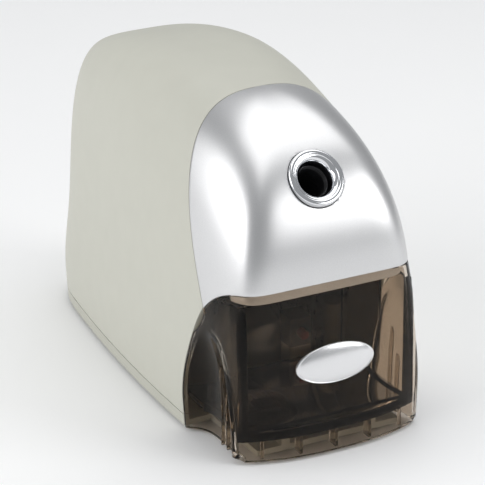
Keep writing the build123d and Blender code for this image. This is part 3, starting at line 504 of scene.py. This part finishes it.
def make_nose_ring():
    """Polished ring with a funnel, and a black sleeve with three ridges in its throat."""
    profile = [(9.7, 13.95), (9.7, 2.8), (RING_RADIUS, 2.8), (RING_RADIUS, -0.35)]
    profile += [(RING_RADIUS - 0.12, -0.78), (RING_RADIUS - 0.45, -1.08), (RING_RADIUS - 0.9, -1.2)]
    profile += [(10.35, -1.2), (10.0, -1.12), (9.7, -0.9)]
    for i in range(13):
        angle = pi / 2 * i / 12
        profile.append((9.55 - 2.75 * sin(angle), -0.7 + 5.0 * (1 - cos(angle))))
    profile += [(6.75, 4.6), (6.75, 13.95), (9.7, 13.95)]
    ring = add_piece("pencil_ring", *lathe(profile, RING_SEAT, PENCIL_AXIS, 128), "ring_chrome")
    finished(ring, angle=28)
    seat(ring, "body", "ring_chrome", "nose_ring")
    lining = [(6.72, 13.9), (6.72, 4.75)]
    for depth in (4.7, 5.7, 6.7):
        lining += [(6.62, depth), (6.42, depth + 0.2), (6.38, depth + 0.55), (6.55, depth + 0.8)]
    lining += [(6.32, 8.2), (6.32, 13.9), (6.72, 13.9)]
    sleeve = add_piece("throat_sleeve", *lathe(lining, RING_SEAT, PENCIL_AXIS, 96), "black_plastic")
    finished(sleeve, angle=28)
    return seat(sleeve, "body", "black_plastic")


def scoop_floor(y, z):
    """Half width at the bottom of a finger scoop; outside the scoop it lies beyond the drawer."""
    spread = ((y - SCOOP_Y) / SCOOP_LENGTH) ** 2 + (z / SCOOP_HEIGHT) ** 2
    tucked = 9.0 * sqrt(min(max(z, 0.0) / 9.0, 1.0)) + 20 * max((y - 22) / 20, 0.0) ** 2
    return min(SCOOP_X + SCOOP_DEPTH * min(spread, 2.0) ** 2, SCOOP_X + 0.5 + tucked + (z > 9) * 20)


def scooped(point):
    """Presses a point of the drawer's side inwards where a finger scoop lies."""
    x, y, z = point
    floor_x = scoop_floor(y, z)
    soft = 0.4
    gap = min(max((floor_x - abs(x)) / soft, -60), 60)
    pressed = abs(x) - soft * np.log1p(np.exp(-gap)) if gap > 0 else floor_x - soft * np.log1p(np.exp(gap))
    return Vector((float(pressed) * (1 if x > 0 else -1), y, z))


def skin_column(share, low, steps, inset=0.0):
    high = root(45, LIP_Z, lambda z: z - parting_z(front_point(share, z).y, 0))
    heights = [low + (high - low) * i / steps for i in range(steps + 1)]
    return [scooped(front_point(share, z, inset)) for z in heights]


def make_drawer():
    shares = even_shares(30, 110)
    columns = [skin_column(s, 0.0, 56) for s in shares]
    skin = turn_outwards(add_piece("drawer_skin", *grid(columns), "drawer_smoke"), (0, 40, 35))
    finished(skin, DRAWER_WALL, 0.5, angle=50)
    ribs = []
    for side in (-1, 1):
        for y, top in ((12.5, 26.0), (17.5, 36.0)):
            rows = []
            for z in np.linspace(0, top, 18):
                inner, proud = scoop_floor(y, z) - 0.6, 1.5 * sqrt(max(1 - (z / top) ** 8, 0.0)) + 0.6
                section = ((0, -0.6), (proud, -0.45), (proud, 0.45), (0, 0.6))
                rows.append([(side * (inner + r), y + d, z) for r, d in section])
            ribs.append(capped(rows))
    for x in (-32, -16, 0, 16, 32):
        front = front_point(x / 46, 4).y + DRAWER_WALL - 0.3
        ribs.append(box_grid((x - 0.7, front, 0.3), (x + 0.7, -0.5, FLOOR_Z)))
    ribs = add_piece("drawer_ribs", *joined(*ribs), "drawer_smoke")
    finished(ribs, 0, 0.25)
    inside = TUB_HALF - TUB_WALL
    low = (-inside, TUB_REAR - TUB_WALL, FLOOR_Z + TUB_FLOOR - 0.1)
    back = box_grid(low, (inside, TUB_REAR, TUB_BACK_TOP))
    back_wall = add_piece("drawer_back", *back, "drawer_smoke")
    finished(back_wall, 0, 0.5)
    merge_into(skin, ribs, back_wall)
    return seat(skin, "drawer", "drawer_smoke", "shavings_drawer")


def make_drawer_tub():
    """The box inside the drawer, and the front edges of its floor and walls, which carry painted shade: a
    near-black copy of the smoke material.
    """
    shares = even_shares(30, 110)
    lining = offset_inwards(shares, 2.25)
    floor_front = offset_inwards(shares, 4.4)
    strip = []
    for outer, inner in zip(lining, floor_front):
        top = FLOOR_Z + TUB_FLOOR
        front = [(outer.x, outer.y, FLOOR_Z), (outer.x, outer.y, top)]
        strip.append(front + [(inner.x, inner.y, top), (inner.x, inner.y, FLOOR_Z)])
    edges = [capped(strip)]
    back_corners = ((TUB_HALF, 38), (TUB_HALF, TUB_REAR), (-TUB_HALF, TUB_REAR), (-TUB_HALF, 38))
    path = floor_front + [Vector((x, y, 0)) for x, y in back_corners]
    count = len(path)
    floor_faces = [tuple(range(count)), tuple(range(2 * count - 1, count - 1, -1))]
    floor_faces += [(i, (i + 1) % count, count + (i + 1) % count, count + i) for i in range(count)]
    levels = [(p.x, p.y, FLOOR_Z + rise) for rise in (0.1, TUB_FLOOR - 0.2) for p in path]
    walls = [(levels, floor_faces)]
    wall_foot = FLOOR_Z + TUB_FLOOR - 0.1
    for side in (-1, 1):
        rows = []
        for y in np.linspace(6, TUB_REAR, 36):
            top = tub_top(y)
            inner, outer = TUB_HALF - 2.0, TUB_HALF - 0.2
            row = [(inner, wall_foot), (outer, wall_foot), (outer, top), (inner, top)]
            rows.append([(side * x, max(y, wall_front(z) + 2.3), z) for x, z in row])
        walls.append(capped(rows))
        upright = []
        inner, outer = TUB_HALF - 2.4, TUB_HALF + 0.2
        for z in np.linspace(wall_foot, TUB_TOP, 24):
            front = wall_front(z)
            corners = [(inner, front), (outer, front), (outer, front + 2.3), (inner, front + 2.3)]
            upright.append([(side * x, y, z) for x, y in corners])
        edges.append(capped(upright))
    tub = add_piece("drawer_tub", *joined(*walls), "drawer_smoke")
    seat(finished(tub, 0, 0.3), "drawer", "drawer_smoke")
    # The edges take the near-black smoke copy, which is painted shade rather than a colour of the plastic.
    rim = add_piece("drawer_tub_edges", *joined(*edges), "drawer_smoke", PAINTED_SHADE_SMOKE)
    return seat(finished(rim, 0, 0.2), "drawer", "drawer_smoke")


def tub_top(y):
    """Top edge of the tub's side walls, which drops behind and follows the parting in front."""
    if y < 26:
        return min(TUB_TOP, parting_z(y - 1.0, 0) - 4.5)
    return TUB_TOP if y < 50 else TUB_BACK_TOP


def capped(rows):
    """Closed bar from rows of four corners."""
    points, faces = grid(rows, closed=True)
    return points, faces + [(3, 2, 1, 0), tuple(range(len(points) - 4, len(points)))]


def offset_inwards(shares, distance):
    """The drawer's outline at its floor, moved inwards, where it lies in front of the housing."""
    outline = [scooped(front_point(s, FLOOR_Z + 1)) for s in shares]
    moved = []
    for i, point in enumerate(outline):
        run = outline[min(i + 1, len(outline) - 1)] - outline[max(i - 1, 0)]
        if point.y < 34:
            moved.append(point + Vector((-run.y, run.x, 0)).normalized() * distance)
    return moved


def wall_front(z):
    """Front edge of the tub's side walls: just behind the skin's inner face."""
    return scooped(front_point(38.3 / 47.0, z)).y + DRAWER_WALL + 0.1


def make_badge():
    """Domed oval with a raised rim, on the drawer's leaning face."""
    middle = front_point(0, BADGE_Z)
    lean = DRAWER_LEAN / LIP_Z
    outward = Vector((0, -1, lean)).normalized()
    up = Vector((0, lean, 1)).normalized()
    profile = [(0.0, 2.1), (0.25, 2.04), (0.45, 1.9), (0.65, 1.65), (0.8, 1.36), (0.9, 1.08)]
    profile += [(0.935, 0.9), (0.945, 0.88)]
    profile += [(0.955, 0.97), (0.97, 1.02), (0.985, 0.95), (1.0, 0.7), (1.0, -0.3)]
    rows = []
    for share, height in profile:
        ring = []
        for i in range(128):
            angle = 2 * pi * i / 128
            x, rise = BADGE_LONG * share * cos(angle), BADGE_SHORT * share * sin(angle)
            bow = front_point(x / 46, BADGE_Z + rise).y - (middle.y + rise * lean)
            ring.append(middle + Vector((x, bow, 0)) + up * rise + outward * height)
        rows.append(ring)
    points, faces = grid(rows, closed=True)
    faces.append(tuple(range(len(points) - 128, len(points))))
    badge = add_piece("oval_badge", points, faces, "badge_silver")
    finished(badge, angle=32)
    return seat(badge, "drawer", "badge_silver", "drawer_badge")


# ---- what repeats, made with geometry nodes ---------------------------------------------------------
class Tree:
    """Small helper to build a geometry node group with named inputs."""

    def __init__(self, name):
        self.group = bpy.data.node_groups.new(name, "GeometryNodeTree")
        self.group.interface.new_socket("Geometry", in_out="INPUT", socket_type="NodeSocketGeometry")
        self.group.interface.new_socket("Geometry", in_out="OUTPUT", socket_type="NodeSocketGeometry")
        self.start = self.group.nodes.new("NodeGroupInput")
        self.end = self.group.nodes.new("NodeGroupOutput")

    def size(self, name, default, kind="NodeSocketFloat"):
        self.group.interface.new_socket(name, in_out="INPUT", socket_type=kind).default_value = default
        return self.start.outputs[name]

    def add(self, kind, properties=None, **inputs):
        node = self.group.nodes.new(kind)
        for key, value in (properties or {}).items():
            setattr(node, key, value)
        for key, value in inputs.items():
            socket = node.inputs[key.replace("_", " ")]
            if isinstance(value, bpy.types.NodeSocket):
                self.group.links.new(value, socket)
            else:
                socket.default_value = value
        return node

    def math(self, operation, a, b):
        node = self.group.nodes.new("ShaderNodeMath")
        node.operation = operation
        for socket, value in zip(node.inputs, (a, b)):
            if isinstance(value, bpy.types.NodeSocket):
                self.group.links.new(value, socket)
            else:
                socket.default_value = value
        return node.outputs[0]

    def placed(self, shape, turn):
        """The shape at each point of the incoming mesh."""
        points = self.start.outputs["Geometry"]
        spots = self.add("GeometryNodeInstanceOnPoints", Points=points, Instance=shape, Rotation=turn)
        return spots.outputs[0]

    def finish(self, geometry, material):
        real = self.add("GeometryNodeRealizeInstances", Geometry=geometry)
        paint = self.add("GeometryNodeSetMaterial", Geometry=real.outputs[0], Material=material)
        self.group.links.new(paint.outputs[0], self.end.inputs[0])
        return self.group


def grown(name, group, points, sizes, slot):
    """Runs a node group on a mesh of points and keeps the result as a plain mesh."""
    mesh = bpy.data.meshes.new(name)
    mesh.from_pydata([tuple((Vector(p) + LIP) / 1000) for p in points], [], [])
    piece = bpy.data.objects.new(name, mesh)
    bpy.context.collection.objects.link(piece)
    nodes = piece.modifiers.new("grow", "NODES")
    nodes.node_group = group
    for item in group.interface.items_tree:
        if item.in_out == "INPUT" and item.name in sizes:
            nodes[item.identifier] = sizes[item.name]
    graph = bpy.context.evaluated_depsgraph_get()
    result = bpy.data.meshes.new_from_object(piece.evaluated_get(graph), depsgraph=graph)
    piece.modifiers.clear()
    piece.data = result
    result.materials.clear()
    result.materials.append(FINISHES[slot].material)
    result.set_sharp_from_angle(angle=radians(35))
    return piece


def screw_tree():
    """Pan head screw with a cross recess, repeated at every point; it points along its own Z."""
    tree = Tree("cross_head_screws")
    head, height = tree.size("Head Radius", 0.003), tree.size("Head Height", 0.002)
    shank, length = tree.size("Shank Radius", 0.0015), tree.size("Shank Length", 0.01)
    slot_length, slot_width = tree.size("Recess Length", 0.0036), tree.size("Recess Width", 0.0007)
    slot_depth = tree.size("Recess Depth", 0.0011)
    turn = tree.size("Turn", (0, 0, 0), "NodeSocketRotation")
    disc = tree.add("GeometryNodeMeshCylinder", Vertices=32, Radius=head, Depth=height)
    lift = tree.add("ShaderNodeCombineXYZ", Z=tree.math("MULTIPLY", height, -0.5))
    body = tree.add("GeometryNodeTransform", Geometry=disc.outputs[0], Translation=lift.outputs[0])
    shape = body.outputs[0]
    for length_socket, width_socket in ((slot_length, slot_width), (slot_width, slot_length)):
        deep = tree.math("MULTIPLY", slot_depth, 2)
        size = tree.add("ShaderNodeCombineXYZ", X=length_socket, Y=width_socket, Z=deep)
        bar = tree.add("GeometryNodeMeshCube", Size=size.outputs[0])
        drop = tree.add("ShaderNodeCombineXYZ", Z=tree.math("MULTIPLY", height, -1))
        low = tree.add("GeometryNodeTransform", Geometry=bar.outputs[0], Translation=drop.outputs[0])
        cut = tree.add("GeometryNodeMeshBoolean", {"operation": "DIFFERENCE"})
        tree.group.links.new(shape, cut.inputs["Mesh 1"])
        tree.group.links.new(low.outputs[0], cut.inputs["Mesh 2"])
        shape = cut.outputs[0]
    rod = tree.add("GeometryNodeMeshCylinder", Vertices=24, Radius=shank, Depth=length)
    rise = tree.add("ShaderNodeCombineXYZ", Z=tree.math("MULTIPLY", length, 0.5))
    stem = tree.add("GeometryNodeTransform", Geometry=rod.outputs[0], Translation=rise.outputs[0])
    whole = tree.add("GeometryNodeJoinGeometry")
    tree.group.links.new(shape, whole.inputs[0])
    tree.group.links.new(stem.outputs[0], whole.inputs[0])
    return tree.finish(tree.placed(whole.outputs[0], turn), FINISHES["zinc_steel"].material)


def make_screws():
    """The case screws under the base and the motor frame's feet screws."""
    group = screw_tree()
    low, high = [Vector(corner) * 1000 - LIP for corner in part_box("base_screws")]
    places = [(side * x, y, low.z + CASE_HEAD) for x, y in POST_PLACES for side in (-1, 1)]
    sizes = {"Head Height": CASE_HEAD / 1000, "Shank Length": (high.z - low.z - CASE_HEAD) / 1000}
    seat(grown("case_screws", group, places, sizes, "zinc_steel"), "body", "zinc_steel", "base_screws")
    low, high = [Vector(corner) * 1000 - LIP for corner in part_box("frame_screws")]
    head_radius, seat_z = 3.0, high.z - FOOT_HEAD
    places = [(side * (high.x - head_radius), y, seat_z) for y in FOOT_SCREW_ROWS for side in (-1, 1)]
    sizes = {"Shank Length": (seat_z - low.z) / 1000, "Turn": (pi, 0, 0)}
    seat(grown("foot_screws", group, places, sizes, "zinc_steel"), "body", "zinc_steel", "frame_screws")


def winding_tree():
    """One rounded turn of wire, repeated side by side along X."""
    tree = Tree("winding_turns")
    wide, deep = tree.size("Loop Width", 0.038), tree.size("Loop Height", 0.039)
    corner, wire = tree.size("Corner Radius", 0.004), tree.size("Wire Radius", 0.00038)
    loop = tree.add("GeometryNodeCurvePrimitiveQuadrilateral", Width=wide, Height=deep)
    soft = tree.add("GeometryNodeFilletCurve", Curve=loop.outputs[0], Radius=corner)
    soft.mode = "POLY"
    soft.inputs["Count"].default_value = 5
    ring = tree.add("GeometryNodeCurvePrimitiveCircle", Resolution=8, Radius=wire)
    turn = tree.add("GeometryNodeCurveToMesh", Curve=soft.outputs[0], Profile_Curve=ring.outputs[0])
    across = tree.size("Turn", (0, 0, 0), "NodeSocketRotation")
    return tree.finish(tree.placed(turn.outputs[0], across), FINISHES["winding_copper"].material)


def make_winding():
    """Outer layer of turns on the motor coil, standing a little proud of the wound block."""
    upward = Vector((0, sin(TILT), cos(TILT)))
    middle = RING_SEAT + PENCIL_AXIS * COIL_DEPTH + upward * COIL_RISE
    facing = Matrix((PENCIL_AXIS, upward, Vector((1, 0, 0)))).transposed().to_euler()
    places = [middle + Vector((x, 0, 0)) for x in np.linspace(-COIL_HALF, COIL_HALF, COIL_TURNS)]
    loop = {"Loop Width": 0.03874, "Loop Height": 0.03774, "Corner Radius": 0.0012}
    sizes = {**loop, "Turn": facing}
    seat(grown("coil_turns", winding_tree(), places, sizes, "winding_copper"), "body", "winding_copper")


def dress_cad_pieces():
    """Gives every carried-over piece the finish of its own slot."""
    for entry in frame["record"]["subparts"]:
        node = frame["nodes"][entry["node"]]
        node.data.materials.clear()
        node.data.materials.append(FINISHES[entry["material_slot"]].material)


# ---- studio -----------------------------------------------------------------------------------------
def make_floor():
    """Large pale sheet that curves up far behind the object."""
    rows = []
    for x in np.linspace(-4, 4, 9):
        row = [(x, y, 0) for y in (-4, -2, 0, 2)]
        row += [(x, 2 + 1.2 * sin(radians(a)), 1.2 * (1 - cos(radians(a)))) for a in range(10, 91, 10)]
        rows.append(row + [(x, 3.2, 4)])
    points, faces = grid(rows)
    mesh = bpy.data.meshes.new("studio_floor")
    mesh.from_pydata(points, [], faces)
    mesh.shade_smooth()
    paper = Finish("studio_paper", (0.97, 0.97, 0.97), 0.9)
    paper.polish(paper.grain(30.0), 0.05)
    mesh.materials.append(paper.material)
    floor = bpy.data.objects.new("studio_floor", mesh)
    bpy.context.collection.objects.link(floor)


def add_light(name, place, target, size, power, colour=(1, 1, 1)):
    light = bpy.data.lights.new(name, "AREA")
    light.shape = "RECTANGLE"
    light.size, light.size_y = size
    light.energy = power
    light.color = colour
    lamp = bpy.data.objects.new(name, light)
    bpy.context.collection.objects.link(lamp)
    lamp.location = place
    lamp.rotation_euler = (Vector(target) - Vector(place)).to_track_quat("-Z", "Y").to_euler()


def light_studio():
    world = bpy.data.worlds.new("studio")
    bpy.context.scene.world = world
    world.use_nodes = True
    backdrop = world.node_tree.nodes["Background"]
    backdrop.inputs["Color"].default_value = (0.80, 0.82, 0.84, 1)
    backdrop.inputs["Strength"].default_value = 0.42
    add_light("left_softbox", (-1.2, 0.15, 0.55), (0, 0, 0.08), (1.3, 0.9), 9)
    add_light("right_softbox", (0.68, -0.80, 0.52), (0, -0.05, 0.08), (0.55, 0.55), 3.4)
    add_light("overhead", (0.25, 0.1, 1.25), (0, 0, 0), (1.3, 1.3), 8)
    bpy.context.scene.view_settings.view_transform = "Standard"


def aim_camera():
    """Long lens from the front left, a little above the object."""
    towards = Vector((-0.4318, -0.8121, 0.3923)).normalized()
    right = Vector((0.8829, -0.4695, 0)).normalized()
    up = towards.cross(right)
    data = bpy.data.cameras.new("camera")
    data.sensor_width = 36
    data.lens = 2800 / 485 * 36
    data.clip_start, data.clip_end = 0.05, 20
    camera = bpy.data.objects.new("camera", data)
    bpy.context.collection.objects.link(camera)
    place = Vector((0, 0, LIP_Z)) + towards * 1120 - right * 35.6 + up * 16.0
    turn = Matrix((right, up, towards)).transposed().to_4x4()
    camera.matrix_world = Matrix.Translation((place + LIP) / 1000) @ turn
    bpy.context.scene.camera = camera


dress_cad_pieces()
make_upper_housing()
make_front_plate()
make_nose_ring()
make_drawer()
make_drawer_tub()
make_badge()
make_screws()
make_winding()
make_floor()
light_studio()
aim_camera()
